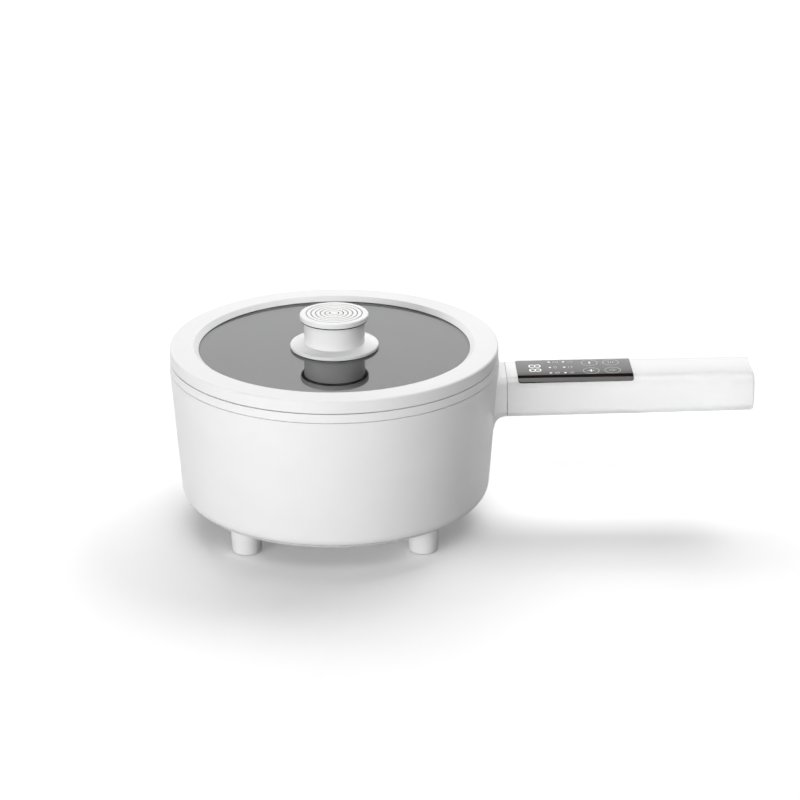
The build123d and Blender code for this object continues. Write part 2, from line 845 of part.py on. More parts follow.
foot_names = ("rear_right", "rear_left", "front_left", "front_right")
foot_step = foot_path_radius * sin(radians(foot_start))
foot_places = ((1, 1), (-1, 1), (-1, -1), (1, -1))
foot_head_z = foot_height - foot_screw_grip - screw_head_height
for foot_name, (side_x, side_y) in zip(foot_names, foot_places):
    foot_centre = (side_x * foot_step, side_y * foot_step)
    with BuildPart() as foot:
        with BuildSketch(Plane.XY.offset(pad_stand)):
            with Locations(foot_centre):
                Circle(foot_tip_radius)
        with BuildSketch(Plane.XY.offset(foot_height)):
            with Locations(foot_centre):
                Circle(foot_top_radius)
        loft()
        fillet(foot.edges().group_by(Axis.Z)[0], foot_tip_round)
        with BuildSketch(Plane.XY.offset(pad_stand)):
            with Locations(foot_centre):
                Circle(pad_radius + slip_fit)
        extrude(amount=pad_thickness - pad_stand, mode=Mode.SUBTRACT)
        with BuildSketch(Plane.XY.offset(pad_thickness)):
            with Locations(foot_centre):
                Circle(screw_head_radius + slip_fit)
        extrude(amount=foot_head_z + screw_head_height - pad_thickness, mode=Mode.SUBTRACT)
        with BuildSketch(Plane.XY.offset(pad_thickness)):
            with Locations(foot_centre):
                Circle(screw_radius)
        extrude(amount=foot_height - pad_thickness, mode=Mode.SUBTRACT)
    foot.part.label = f"foot_{foot_name}"
    export_step(foot.part, f"parts/foot_{foot_name}.step")

    with BuildPart() as foot_pad:
        with BuildSketch(Plane.XY):
            with Locations(foot_centre):
                Circle(pad_radius)
        extrude(amount=pad_thickness)
        fillet(foot_pad.edges().group_by(Axis.Z)[0], pad_stand / 2)
    foot_pad.part.label = f"foot_pad_{foot_name}"
    export_step(foot_pad.part, f"parts/foot_pad_{foot_name}.step")

with BuildPart() as foot_screws:
    with BuildSketch(Plane.XY.offset(foot_head_z)):
        with PolarLocations(foot_path_radius, foot_count, foot_start):
            Circle(screw_head_radius)
    extrude(amount=screw_head_height)
    with BuildSketch(Plane.XY.offset(foot_head_z)):
        with PolarLocations(foot_path_radius, foot_count, foot_start):
            Circle(screw_radius - slip_fit)
    extrude(amount=floor_z + foot_boss_height - foot_head_z)
foot_screws.part.label = "foot_screws"
export_step(foot_screws.part, "parts/foot_screws.step")

# ---- Handle ----

grip_slope = (grip_height - grip_height_end) / grip_length


def grip_form(start_x, end_x, inset):
    # The handle's rounded section, moved in by inset, between two places along it.
    low_start = grip_under_z + inset + (start_x - grip_start_x) * grip_slope
    low_end = grip_under_z + inset + (end_x - grip_start_x) * grip_slope
    with BuildPart() as form:
        with BuildSketch(Plane.XZ):
            with BuildLine():
                Polyline(
                    (start_x, low_start),
                    (end_x, low_end),
                    (end_x, grip_top_z - inset),
                    (start_x, grip_top_z - inset),
                    close=True,
                )
            make_face()
        extrude(amount=grip_width / 2 - inset, both=True)
        long_edges = form.edges().filter_by(lambda e: abs((e @ 0).X - (e @ 1).X) > grip_corner)
        fillet(long_edges, grip_corner - inset)
    return form.part


def panel_form(inset, spread):
    # Slice of the handle's skin that the panel takes up, down to its wrap angle.
    near_x = grip_start_x + panel_offset - spread
    far_x = near_x + panel_length + 2 * spread
    edge_z = grip_top_z - grip_corner + grip_corner * cos(radians(panel_wrap)) - spread
    skin = grip_form(near_x, far_x, inset)
    heart = grip_form(near_x, far_x, panel_sink)
    with BuildPart() as form:
        add(skin)
        add(heart, mode=Mode.SUBTRACT)
        split(bisect_by=Plane.XY.offset(edge_z), keep=Keep.TOP)
        corner_edges = form.edges().filter_by(
            lambda e: abs((e @ 0).X - (e @ 1).X) < slip_fit
            and abs((e @ 0).Z - edge_z) < slip_fit
            and abs((e @ 1).Z - edge_z) < slip_fit
        )
        fillet(corner_edges, panel_corner + spread)
    return form.part


panel_start_x = grip_start_x + panel_offset
panel_mid_x = panel_start_x + panel_length / 2
seat_z = grip_top_z - panel_sink
display_board_top_z = seat_z - display_height
display_board_z = display_board_top_z - board_thickness
core_low_z = grip_under_z + grip_wall + core_length * grip_slope + core_clearance
core_width = grip_width - 2 * grip_wall - 2 * core_clearance
core_start_x = grip_start_x + core_clearance
core_floor_z = core_low_z + core_floor
grip_screw_x = core_start_x + grip_screw_place

grip_outside = grip_form(grip_start_x, grip_end_x, 0)
grip_inside = grip_form(grip_start_x, grip_end_x - grip_wall, grip_wall)
panel_seat = panel_form(-grip_wall, slip_fit)
panel_body = panel_form(-panel_proud, 0)

with BuildPart() as handle_shell:
    add(grip_outside)
    fillet(handle_shell.faces().sort_by(Axis.X)[-1].edges(), grip_end_round)
    add(grip_inside, mode=Mode.SUBTRACT)
    add(panel_seat, mode=Mode.SUBTRACT)
    # Window under the panel for the display, the dots and the touch pads.
    with BuildSketch(Plane.XY.offset(grip_top_z)):
        with Locations((panel_mid_x, 0)):
            RectangleRounded(window_length, window_width, panel_corner)
    extrude(amount=-2 * grip_wall, mode=Mode.SUBTRACT)
    # Screw holes through the underside, with room for their heads.
    with BuildSketch(Plane.XY.offset(grip_under_z - grip_wall)):
        with Locations((grip_screw_x, 0)):
            with GridLocations(0, grip_screw_span, 1, 2):
                Circle(screw_radius)
    extrude(amount=grip_height / 2, mode=Mode.SUBTRACT)
    with BuildSketch(Plane.XY.offset(grip_under_z - grip_wall)):
        with Locations((grip_screw_x, 0)):
            with GridLocations(0, grip_screw_span, 1, 2):
                Circle(screw_head_radius + slip_fit)
    extrude(amount=grip_wall + grip_wall / 2 + core_length * grip_slope, mode=Mode.SUBTRACT)
save_raised(handle_shell.part, "handle_shell")

with BuildPart() as control_panel:
    add(panel_body)
save_raised(control_panel.part, "control_panel")

with BuildPart() as handle_core:
    with BuildSketch(Plane.YZ.offset(core_start_x)):
        with Locations((0, core_low_z)):
            Rectangle(core_width, display_board_z - core_low_z, align=(Align.CENTER, Align.MIN))
    extrude(amount=core_length)
    low_edges = handle_core.edges().filter_by(Axis.X).group_by(Axis.Z)[0]
    fillet(low_edges, grip_corner - grip_wall)
    with BuildSketch(Plane.YZ.offset(core_start_x - core_wall)):
        with Locations((0, core_floor_z)):
            Rectangle(
                core_width - 2 * core_wall,
                display_board_z - core_low_z,
                align=(Align.CENTER, Align.MIN),
            )
    extrude(amount=core_length, mode=Mode.SUBTRACT)
    with BuildSketch(Plane.XY.offset(core_floor_z)):
        with Locations(*[(core_start_x + place, 0) for place in core_screw_places]):
            Circle(core_boss_radius)
    extrude(amount=bracket_bar_z - core_floor_z)
    with BuildSketch(Plane.XY.offset(core_floor_z)):
        with Locations((grip_screw_x, 0)):
            with GridLocations(0, grip_screw_span, 1, 2):
                Circle(grip_boss_radius)
    extrude(amount=grip_boss_height)
    with BuildSketch(Plane.XY.offset(core_low_z)):
        with Locations(*[(core_start_x + place, 0) for place in core_screw_places]):
            Circle(screw_radius)
        with Locations((grip_screw_x, 0)):
            with GridLocations(0, grip_screw_span, 1, 2):
                Circle(screw_radius)
    extrude(amount=core_floor + grip_boss_height, mode=Mode.SUBTRACT)
save_raised(handle_core.part, "handle_core")

bracket_low_z = bracket_bar_z - bracket_flange_drop
with BuildPart() as handle_bracket:
    with BuildSketch(Plane.XY.offset(bracket_bar_z)):
        with Locations((neck_root_x - bracket_flange_thickness, 0)):
            Rectangle(
                bracket_length + bracket_flange_thickness,
                bracket_width,
                align=(Align.MIN, Align.CENTER),
            )
        with Locations(*[(core_start_x + place, 0) for place in core_screw_places]):
            Circle(screw_radius, mode=Mode.SUBTRACT)
    extrude(amount=bracket_thickness)
    with BuildSketch(Plane.YZ.offset(neck_root_x)):
        with Locations((0, bracket_low_z)):
            Rectangle(
                bracket_width + bracket_flange_thickness,
                bracket_flange_drop + bracket_thickness,
                align=(Align.CENTER, Align.MIN),
            )
        with Locations((0, bracket_screw_z)):
            with GridLocations(bracket_screw_span, 0, 2, 1):
                Circle(screw_radius, mode=Mode.SUBTRACT)
    extrude(amount=-bracket_flange_thickness)
save_raised(handle_bracket.part, "handle_bracket")

with BuildPart() as bracket_screws:
    with BuildSketch(Plane.YZ.offset(neck_root_x - bracket_flange_thickness)):
        with Locations((0, bracket_screw_z)):
            with GridLocations(bracket_screw_span, 0, 2, 1):
                Circle(screw_head_radius)
    extrude(amount=-bracket_screw_head)
    with BuildSketch(Plane.YZ.offset(neck_root_x - bracket_flange_thickness)):
        with Locations((0, bracket_screw_z)):
            with GridLocations(bracket_screw_span, 0, 2, 1):
                Circle(screw_radius - slip_fit)
    extrude(amount=bracket_screw_length)
save_raised(bracket_screws.part, "bracket_screws")

with BuildPart() as core_screws:
    with BuildSketch(Plane.XY.offset(bracket_bar_z + bracket_thickness)):
        with Locations(*[(core_start_x + place, 0) for place in core_screw_places]):
            Circle(screw_head_radius)
    extrude(amount=screw_head_height)
    with BuildSketch(Plane.XY.offset(bracket_bar_z + bracket_thickness)):
        with Locations(*[(core_start_x + place, 0) for place in core_screw_places]):
            Circle(screw_radius - slip_fit)
    extrude(amount=core_low_z - bracket_bar_z - bracket_thickness)
save_raised(core_screws.part, "core_screws")

grip_screw_seat_z = grip_under_z + grip_wall / 2 + core_length * grip_slope
with BuildPart() as handle_screws:
    with BuildSketch(Plane.XY.offset(grip_screw_seat_z)):
        with Locations((grip_screw_x, 0)):
            with GridLocations(0, grip_screw_span, 1, 2):
                Circle(screw_head_radius)
    extrude(amount=-grip_wall / 2 + seam_gap)
    with BuildSketch(Plane.XY.offset(grip_screw_seat_z)):
        with Locations((grip_screw_x, 0)):
            with GridLocations(0, grip_screw_span, 1, 2):
                Circle(screw_radius - slip_fit)
    extrude(amount=grip_boss_height)
save_raised(handle_screws.part, "handle_screws")

# ---- Display board under the panel ----

board_start_x = panel_start_x + display_board_margin
board_end_x = panel_start_x + panel_length - display_board_margin
with BuildPart() as display_board:
    with BuildSketch(Plane.XY.offset(display_board_z)):
        with Locations((panel_mid_x, 0)):
            RectangleRounded(board_end_x - board_start_x, display_board_width, panel_corner)
    extrude(amount=board_thickness)
save_raised(display_board.part, "display_board")

with BuildPart() as digit_display:
    with BuildSketch(Plane.XY.offset(display_board_top_z)):
        with Locations((panel_start_x + digits_place, 0)):
            Rectangle(digits_length, digits_width)
    extrude(amount=display_height)
    fillet(digit_display.edges().filter_by(Axis.Z), shell_edge_round)
save_raised(digit_display.part, "digit_display")

with BuildPart() as indicator_leds:
    with BuildSketch(Plane.XY.offset(display_board_top_z)):
        with Locations(*[(panel_start_x + x, y) for x in led_columns for y in led_rows]):
            RectangleRounded(led_size, led_size, shell_edge_round)
    extrude(amount=display_height)
save_raised(indicator_leds.part, "indicator_leds")

key_sides = (-key_half_spacing, key_half_spacing)
with BuildPart() as touch_pads:
    with BuildSketch(Plane.XY.offset(display_board_top_z)):
        with Locations(*[(panel_start_x + x, y) for x in key_columns for y in key_sides]):
            Circle(touch_pad_radius)
    extrude(amount=display_height)
save_raised(touch_pads.part, "touch_pads")

with BuildPart() as controller_chip:
    with BuildSketch(Plane.XY.offset(display_board_z)):
        with Locations((panel_mid_x, 0)):
            Rectangle(chip_size, chip_size)
    extrude(amount=-chip_height)
    fillet(controller_chip.edges().filter_by(Axis.Z), shell_edge_round)
save_raised(controller_chip.part, "controller_chip")

with BuildPart() as buzzer:
    with BuildSketch(Plane.XY.offset(display_board_z)):
        with Locations((grip_screw_x, 0)):
            Circle(buzzer_radius)
    extrude(amount=-buzzer_height)
    fillet(buzzer.edges().group_by(Axis.Z)[0], shell_edge_round)
save_raised(buzzer.part, "buzzer")

# Signal cable: from under the display board, through the neck, down the wall to the board.
cable_high_z = neck_bore_z
cable_wall_x = neck_root_x - bracket_flange_thickness - 2 * signal_cable_radius + panel_sink / 2
cable_wall_place = raised_place(cable_wall_x, cable_high_z)
signal_cable = tube_part(
    [
        raised_place(board_start_x + lead_bend, display_board_z),
        raised_place(board_start_x + lead_bend, cable_high_z),
        cable_wall_place,
        (cable_wall_place[0], 0, lead_z),
        (board_right, 0, lead_z),
    ],
    signal_cable_radius,
    lead_bend / 3,
)
signal_cable.label = "signal_cable"
export_step(signal_cable, "parts/signal_cable.step")

# ---- Lid ----

with BuildPart() as lid_ring:
    with BuildSketch(Plane.XZ) as lid_outline:
        with BuildLine():
            Polyline(
                (rebate_radius, lid_base_z),
                (lid_base_radius, lid_base_z),
                (lid_top_radius, lid_top_z),
                (bevel_radius, lid_top_z),
                (window_radius, lid_top_z - lid_bevel_drop),
                (window_radius, lip_under_z),
                (rebate_radius, lip_under_z),
                close=True,
            )
        make_face()
        fillet(
            lid_outline.vertices().sort_by_distance((lid_top_radius, lid_top_z))[0],
            lid_edge_round,
        )
        fillet(
            lid_outline.vertices().sort_by_distance((bevel_radius, lid_top_z))[0],
            shell_edge_round,
        )
        chamfer(
            lid_outline.vertices().sort_by_distance((lid_base_radius, lid_base_z))[0],
            shell_edge_round,
        )
    revolve(axis=Axis.Z)
lid_ring.part.label = "lid_ring"
export_step(lid_ring.part, "parts/lid_ring.step")

lid_glass = ring_part(knob_screw_radius + knob_fit, glass_radius, glass_under_z, glass_top_z)
lid_glass.label = "lid_glass"
export_step(lid_glass, "parts/lid_glass.step")

glass_gasket = ring_part(
    window_radius + knob_fit, glass_radius, glass_top_z, glass_top_z + glass_gasket_thickness
)
glass_gasket.label = "glass_gasket"
export_step(glass_gasket, "parts/glass_gasket.step")

retainer_radius = min(rebate_radius - retainer_fit, pot_bore_radius - lid_side_clearance)
retainer_low_z = glass_under_z - retainer_depth
seal_low_z = retainer_low_z + lid_seal_height / 2
with BuildPart() as lid_retainer:
    with BuildSketch(Plane.XZ):
        with BuildLine():
            Polyline(
                (retainer_radius - retainer_wall, retainer_low_z),
                (retainer_radius, retainer_low_z),
                (retainer_radius, seal_low_z),
                (retainer_radius - lid_seal_depth, seal_low_z),
                (retainer_radius - lid_seal_depth, seal_low_z + lid_seal_height),
                (retainer_radius, seal_low_z + lid_seal_height),
                (retainer_radius, glass_under_z),
                (retainer_radius - retainer_wall, glass_under_z),
                close=True,
            )
        make_face()
    revolve(axis=Axis.Z)
lid_retainer.part.label = "lid_retainer"
export_step(lid_retainer.part, "parts/lid_retainer.step")

lid_seal = ring_part(
    retainer_radius - lid_seal_depth,
    pot_bore_radius - lid_side_clearance,
    seal_low_z,
    seal_low_z + lid_seal_height,
)
lid_seal.label = "lid_seal"
export_step(lid_seal, "parts/lid_seal.step")

# ---- Knob ----

flange_z = glass_top_z + knob_gasket_thickness
flange_rim_z = flange_z + flange_rim
knob_grip_z = flange_rim_z + flange_rise
cap_z = knob_grip_z + grip_knob_height
cap_top_z = cap_z + cap_thickness
spigot_z = knob_grip_z - knob_spigot_depth
spigot_hole = knob_spigot_radius + knob_fit

knob_gasket = ring_part(
    knob_screw_radius + knob_fit, flange_radius - knob_gasket_inset, glass_top_z, flange_z
)
knob_gasket.label = "knob_gasket"
export_step(knob_gasket, "parts/knob_gasket.step")

with BuildPart() as knob_flange:
    with BuildSketch(Plane.XZ) as flange_outline:
        with BuildLine():
            Polyline(
                (grip_foot_radius, knob_grip_z),
                (spigot_hole, knob_grip_z),
                (spigot_hole, spigot_z),
                (knob_screw_radius + knob_fit, spigot_z),
                (knob_screw_radius + knob_fit, flange_z),
                (flange_radius, flange_z),
                (flange_radius, flange_rim_z),
            )
            SagittaArc((flange_radius, flange_rim_z), (grip_foot_radius, knob_grip_z), -flange_dish)
        make_face()
        fillet(
            flange_outline.vertices().sort_by_distance((flange_radius, flange_rim_z))[0],
            flange_round,
        )
    revolve(axis=Axis.Z)
knob_flange.part.label = "knob_flange"
export_step(knob_flange.part, "parts/knob_flange.step")

insert_top_z = spigot_z + insert_length
with BuildPart() as knob_grip:
    with BuildSketch(Plane.XZ):
        with BuildLine():
            Polyline(
                (insert_radius + knob_fit, spigot_z),
                (knob_spigot_radius, spigot_z),
                (knob_spigot_radius, knob_grip_z),
                (grip_foot_radius, knob_grip_z),
                (grip_top_radius, cap_z),
                (cap_spigot_radius + knob_fit, cap_z),
                (cap_spigot_radius + knob_fit, cap_z - cap_spigot_depth),
                (0, cap_z - cap_spigot_depth),
                (0, insert_top_z),
                (insert_radius + knob_fit, insert_top_z),
                close=True,
            )
        make_face()
    revolve(axis=Axis.Z)
knob_grip.part.label = "knob_grip"
export_step(knob_grip.part, "parts/knob_grip.step")

with BuildPart() as knob_cap:
    with BuildSketch(Plane.XZ) as cap_outline:
        with BuildLine():
            Polyline(
                (0, cap_z - cap_spigot_depth),
                (cap_spigot_radius, cap_z - cap_spigot_depth),
                (cap_spigot_radius, cap_z),
                (cap_radius, cap_z),
                (cap_radius, cap_top_z),
                (0, cap_top_z),
                close=True,
            )
        make_face()
        fillet(cap_outline.vertices().sort_by_distance((cap_radius, cap_top_z))[0], cap_round)
        fillet(cap_outline.vertices().sort_by_distance((cap_radius, cap_z))[0], cap_under_round)
    revolve(axis=Axis.Z)
    # Fine concentric grooves in the top.
    with BuildSketch(Plane.XZ):
        with Locations(*[(groove_pitch * (i + 1), cap_top_z) for i in range(groove_count)]):
            Rectangle(groove_width, 2 * groove_depth)
    revolve(axis=Axis.Z, mode=Mode.SUBTRACT)
knob_cap.part.label = "knob_cap"
export_step(knob_cap.part, "parts/knob_cap.step")

knob_insert = ring_part(knob_screw_radius + knob_fit / 2, insert_radius, spigot_z, insert_top_z)
knob_insert.label = "knob_insert"
export_step(knob_insert, "parts/knob_insert.step")

washer_top_z = glass_under_z - lower_gasket_thickness
washer_z = washer_top_z - washer_thickness
lower_gasket = ring_part(
    knob_screw_radius + knob_fit, washer_radius + knob_gasket_inset, washer_top_z, glass_under_z
)
lower_gasket.label = "lower_gasket"
export_step(lower_gasket, "parts/lower_gasket.step")

knob_washer = ring_part(knob_screw_radius + knob_fit, washer_radius, washer_z, washer_top_z)
knob_washer.label = "knob_washer"
export_step(knob_washer, "parts/knob_washer.step")

with BuildPart() as knob_screw:
    with BuildSketch(Plane.XY.offset(washer_z)):
        Circle(knob_screw_head_radius)
    extrude(amount=-knob_screw_head_height)
    fillet(knob_screw.edges().group_by(Axis.Z)[0], cap_round)
    with BuildSketch(Plane.XY.offset(washer_z)):
        Circle(knob_screw_radius)
    extrude(amount=min(knob_screw_length, insert_top_z - washer_z))
knob_screw.part.label = "knob_screw"
export_step(knob_screw.part, "parts/knob_screw.step")
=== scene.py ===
import json
import math

import bmesh
import bpy
from mathutils import Matrix, Vector


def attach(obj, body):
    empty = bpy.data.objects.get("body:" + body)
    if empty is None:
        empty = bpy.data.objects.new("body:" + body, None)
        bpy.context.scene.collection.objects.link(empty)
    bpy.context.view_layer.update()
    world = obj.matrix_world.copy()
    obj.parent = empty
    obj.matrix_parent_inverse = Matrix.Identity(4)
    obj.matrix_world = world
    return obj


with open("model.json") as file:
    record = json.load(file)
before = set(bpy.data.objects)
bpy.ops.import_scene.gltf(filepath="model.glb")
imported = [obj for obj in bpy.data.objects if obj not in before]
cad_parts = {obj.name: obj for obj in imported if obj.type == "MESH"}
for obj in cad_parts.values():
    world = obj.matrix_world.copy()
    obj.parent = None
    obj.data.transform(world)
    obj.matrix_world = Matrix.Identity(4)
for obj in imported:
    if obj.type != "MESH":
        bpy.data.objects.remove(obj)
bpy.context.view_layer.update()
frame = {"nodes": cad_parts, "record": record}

nodes = frame["nodes"]
print("frame loaded:", len(nodes), "nodes")


# camera

cameraSettings = {
    "place": (0.0207, -1.3978, 0.631),
    "headingDeg": 0.875,  # clockwise from +Y, seen from above
    "downDeg": 21.5,
    "lens": 104.31,  # millimetres, as is the sensor's width
    "sensor": 36.0,
    "near": 0.01,
    "far": 50.0,
}


def addCamera(settings):
    camera = bpy.data.objects.new("camera", bpy.data.cameras.new("camera"))
    bpy.context.scene.collection.objects.link(camera)
    heading = math.radians(settings["headingDeg"])
    down = math.radians(settings["downDeg"])
    forward = Vector(
        (math.sin(heading) * math.cos(down), math.cos(heading) * math.cos(down), -math.sin(down))
    )
    camera.location = settings["place"]
    camera.rotation_mode = "QUATERNION"
    camera.rotation_quaternion = forward.to_track_quat("-Z", "Y")
    camera.data.lens = settings["lens"]
    camera.data.sensor_width = settings["sensor"]
    camera.data.clip_start = settings["near"]
    camera.data.clip_end = settings["far"]
    bpy.context.scene.camera = camera


addCamera(cameraSettings)
print("camera placed")


# material building blocks

noiseRange = (0.3, 0.7)  # most of the noise lies between these two values


def newMaterial(name):
    material = bpy.data.materials.new(name)
    material.use_nodes = True
    tree = material.node_tree
    shader = tree.nodes["Principled BSDF"]
    coords = tree.nodes.new("ShaderNodeTexCoord").outputs["Object"]
    return material, tree, shader, coords


def noise(tree, coords, size, detail, stretch=None):
    # Noise whose features are about "size" metres across.
    if stretch:
        mapping = tree.nodes.new("ShaderNodeMapping")
        mapping.inputs["Scale"].default_value = stretch
        tree.links.new(coords, mapping.inputs["Vector"])
        coords = mapping.outputs["Vector"]
    node = tree.nodes.new("ShaderNodeTexNoise")
    node.inputs["Scale"].default_value = 1.0 / size
    node.inputs["Detail"].default_value = detail
    tree.links.new(coords, node.inputs["Vector"])
    return node.outputs["Fac"]


def blendColours(tree, factor, first, second):
    ramp = tree.nodes.new("ShaderNodeValToRGB")
    for stop, position, colour in zip(ramp.color_ramp.elements, noiseRange, (first, second)):
        stop.position = position
        stop.color = (*colour, 1.0)
    tree.links.new(factor, ramp.inputs["Fac"])
    return ramp.outputs["Color"]


def spread(tree, factor, low, high):
    node = tree.nodes.new("ShaderNodeMapRange")
    node.inputs["From Min"].default_value, node.inputs["From Max"].default_value = noiseRange
    node.inputs["To Min"].default_value = low
    node.inputs["To Max"].default_value = high
    tree.links.new(factor, node.inputs["Value"])
    return node.outputs["Result"]


def bump(tree, shader, height, depth):
    node = tree.nodes.new("ShaderNodeBump")
    node.inputs["Distance"].default_value = depth
    tree.links.new(height, node.inputs["Height"])
    tree.links.new(node.outputs["Normal"], shader.inputs["Normal"])
    return node


def mathNode(tree, operation, first, second):
    node = tree.nodes.new("ShaderNodeMath")
    node.operation = operation
    for socket, value in zip(node.inputs, (first, second)):
        if isinstance(value, float):
            socket.default_value = value
        else:
            tree.links.new(value, socket)
    return node.outputs[0]


def mixColour(tree, factor, plain, colour):
    # Lays a colour over the plain one where the factor says so.
    mix = tree.nodes.new("ShaderNodeMix")
    mix.data_type = "RGBA"
    mix.inputs["B"].default_value = (*colour, 1.0)
    tree.links.new(factor, mix.inputs["Factor"])
    tree.links.new(plain, mix.inputs["A"])
    return mix.outputs["Result"]


def addCrown(tree, shader, coords, look):
    # The top of the handle is a little crowned from front to back.
    place = tree.nodes.new("ShaderNodeSeparateXYZ")
    tree.links.new(coords, place.inputs[0])
    across = mathNode(tree, "DIVIDE", place.outputs["Y"], look["crownWidth"])
    crown = mathNode(tree, "MULTIPLY", mathNode(tree, "MULTIPLY", across, across), -1.0)
    return bump(tree, shader, crown, look["crownDepth"])


# moulded plastic: fine grain, faint cloudiness, uneven gloss

plasticNoise = {"cloudSize": 0.03, "detail": 2.0}
whitePlastic = {
    "colour": (0.895, 0.895, 0.893),
    "cloud": (0.872, 0.873, 0.872),
    "gloss": (0.33, 0.42),
    "grain": 0.0007,
    "depth": 0.000006,
    "ior": 1.46,
}
knobPlastic = {
    "colour": (0.9, 0.9, 0.898),
    "cloud": (0.878, 0.879, 0.878),
    "gloss": (0.2, 0.27),
    "grain": 0.0006,
    "depth": 0.000006,
    "ior": 1.46,
}
# the handle's own copy of the white plastic: its darker colour is painted shade, set with its higher
# gloss and its own lamp to match the handle's tones
handleShadedPlastic = {
    "colour": (0.84, 0.84, 0.839),
    "cloud": (0.82, 0.821, 0.82),
    "gloss": (0.16, 0.2),
    "grain": 0.0007,
    "depth": 0.000004,
    "ior": 1.6,
    "crownWidth": 0.0126,
    "crownDepth": 0.0005,
}
blackPlastic = {
    "colour": (0.028, 0.028, 0.029),
    "cloud": (0.045, 0.045, 0.046),
    "gloss": (0.45, 0.6),
    "grain": 0.0004,
    "depth": 0.00002,
    "ior": 1.46,
}
greyRubber = {
    "colour": (0.62, 0.62, 0.61),
    "cloud": (0.55, 0.55, 0.545),
    "gloss": (0.65, 0.8),
    "grain": 0.0005,
    "depth": 0.00003,
    "ior": 1.45,
}
blackSilicone = {
    "colour": (0.016, 0.016, 0.017),
    "cloud": (0.03, 0.03, 0.031),
    "gloss": (0.5, 0.65),
    "grain": 0.0006,
    "depth": 0.00001,
    "ior": 1.43,
}
foamPad = {
    "colour": (0.06, 0.06, 0.062),
    "cloud": (0.11, 0.11, 0.112),
    "gloss": (0.85, 0.95),
    "grain": 0.0003,
    "depth": 0.00006,
    "ior": 1.4,
}
displayLight = {
    "colour": (0.86, 0.87, 0.88),
    "cloud": (0.8, 0.81, 0.83),
    "gloss": (0.4, 0.5),
    "grain": 0.0005,
    "depth": 0.00001,
    "ior": 1.5,
}
leadSleeve = {
    "colour": (0.33, 0.035, 0.025),
    "cloud": (0.26, 0.028, 0.02),
    "gloss": (0.35, 0.5),
    "grain": 0.0009,
    "depth": 0.00001,
    "ior": 1.5,
}


def mouldedMaterial(name, look):
    material, tree, shader, coords = newMaterial(name)
    cloud = noise(tree, coords, plasticNoise["cloudSize"], plasticNoise["detail"])
    grain = noise(tree, coords, look["grain"], plasticNoise["detail"])
    colour = blendColours(tree, cloud, look["cloud"], look["colour"])
    tree.links.new(colour, shader.inputs["Base Color"])
    tree.links.new(spread(tree, cloud, *look["gloss"]), shader.inputs["Roughness"])
    grainBump = bump(tree, shader, grain, look["depth"])
    if "crownWidth" in look:
        crownBump = addCrown(tree, shader, coords, look)
        tree.links.new(grainBump.outputs["Normal"], crownBump.inputs["Normal"])
    shader.inputs["IOR"].default_value = look["ior"]
    return material


# knob cap: the same plastic, with painted shade, a soft grey, down in its grooves

grooveShade = {
    "colour": (0.42, 0.42, 0.42),
    "floor": 0.13946,  # height of the grooves' floor
    "top": 0.14024,
    "reach": 0.0186,  # the grooves lie within this radius
}


def shadedCapMaterial(name, look, grooveShadeLook):
    material = mouldedMaterial(name, look)
    tree = material.node_tree
    shader = tree.nodes["Principled BSDF"]
    place = tree.nodes.new("ShaderNodeSeparateXYZ")
    tree.links.new(tree.nodes["Texture Coordinate"].outputs["Object"], place.inputs[0])
    # painted shade: the grey grows from the cap's top down to the grooves' floor, inside the grooves'
    # reach
    depth = tree.nodes.new("ShaderNodeMapRange")
    depth.inputs["From Min"].default_value = grooveShadeLook["top"]
    depth.inputs["From Max"].default_value = grooveShadeLook["floor"]
    tree.links.new(place.outputs["Z"], depth.inputs["Value"])
    # distance from the knob's axis
    squares = [mathNode(tree, "POWER", place.outputs[axis], 2.0) for axis in ("X", "Y")]
    radius = mathNode(tree, "SQRT", mathNode(tree, "ADD", *squares), 0.0)
    inside = mathNode(tree, "LESS_THAN", radius, grooveShadeLook["reach"])
    share = mathNode(tree, "MULTIPLY", depth.outputs["Result"], inside)
    plain = shader.inputs["Base Color"].links[0].from_socket
    shadedColour = mixColour(tree, share, plain, grooveShadeLook["colour"])
    tree.links.new(shadedColour, shader.inputs["Base Color"])
    return material


# metals: rolled or turned lines, or the pitted skin of a casting

metalNoise = {"lineDetail": 4.0, "stainSize": 0.012, "stainDetail": 3.0}
steel = {
    "colour": (0.6, 0.6, 0.61),
    "dull": (0.48, 0.48, 0.49),
    "gloss": (0.24, 0.38),
    "lines": (1.0, 1.0, 9.0),
    "size": 0.002,
    "depth": 0.000008,
}
brass = {
    "colour": (0.78, 0.58, 0.27),
    "dull": (0.62, 0.44, 0.19),
    "gloss": (0.22, 0.36),
    "lines": (1.0, 1.0, 12.0),
    "size": 0.002,
    "depth": 0.000008,
}
castAluminium = {
    "colour": (0.72, 0.72, 0.73),
    "dull": (0.58, 0.58, 0.59),
    "gloss": (0.42, 0.58),
    "lines": (1.0, 1.0, 1.0),
    "size": 0.0012,
    "depth": 0.00005,
}


def metalMaterial(name, look):
    material, tree, shader, coords = newMaterial(name)
    lines = noise(tree, coords, look["size"], metalNoise["lineDetail"], look["lines"])
    stain = noise(tree, coords, metalNoise["stainSize"], metalNoise["stainDetail"])
    tree.links.new(
        blendColours(tree, stain, look["dull"], look["colour"]), shader.inputs["Base Color"]
    )
    tree.links.new(spread(tree, lines, *look["gloss"]), shader.inputs["Roughness"])
    bump(tree, shader, lines, look["depth"])
    shader.inputs["Metallic"].default_value = 1.0
    return material


# pot coat: dark, slightly pebbled, with fine pale specks

potCoat = {
    "colour": (0.03, 0.03, 0.032),
    "cloud": (0.042, 0.042, 0.044),
    "speck": (0.34, 0.34, 0.33),
    "speckSize": 0.0026,
    "speckShare": 0.1,
    "gloss": (0.34, 0.46),
    "cloudSize": 0.02,
    "cloudDetail": 3.0,
    "grain": 0.0009,
    "grainDetail": 2.0,
    "depth": 0.00003,
    "ior": 1.5,
}


